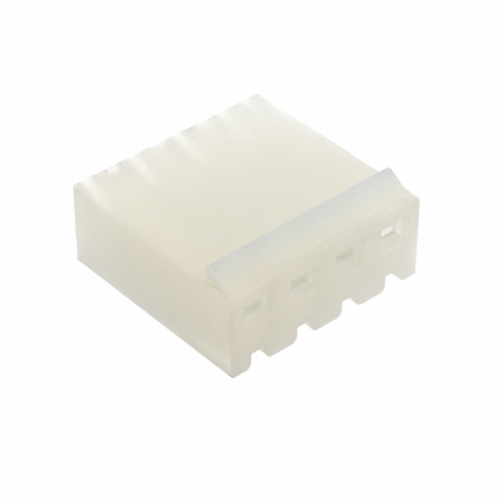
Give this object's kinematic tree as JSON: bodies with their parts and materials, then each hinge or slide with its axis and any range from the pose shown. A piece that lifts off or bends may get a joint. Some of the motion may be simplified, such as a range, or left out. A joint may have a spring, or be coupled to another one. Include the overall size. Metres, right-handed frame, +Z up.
{
  "type": "wire to board connector housing",
  "caption": "Moulded nylon housing for crimped wire terminals in one row, with pin holes in the mating face, slots in the underside and a friction-lock ramp across the top.",
  "frame": {"origin": "centre of the underside, on the surface that the housing rests on", "axes": "+X along the row of circuits, +Y from the mating face towards the wire face, +Z up out of the face with the ramp"},
  "size_m": [0.0166, 0.0162, 0.0075],
  "materials": {
    "nylon": "natural milky nylon, satin and slightly translucent"
  },
  "bodies": {
    "root": {"housing": "nylon"}
  },
  "joints": []
}
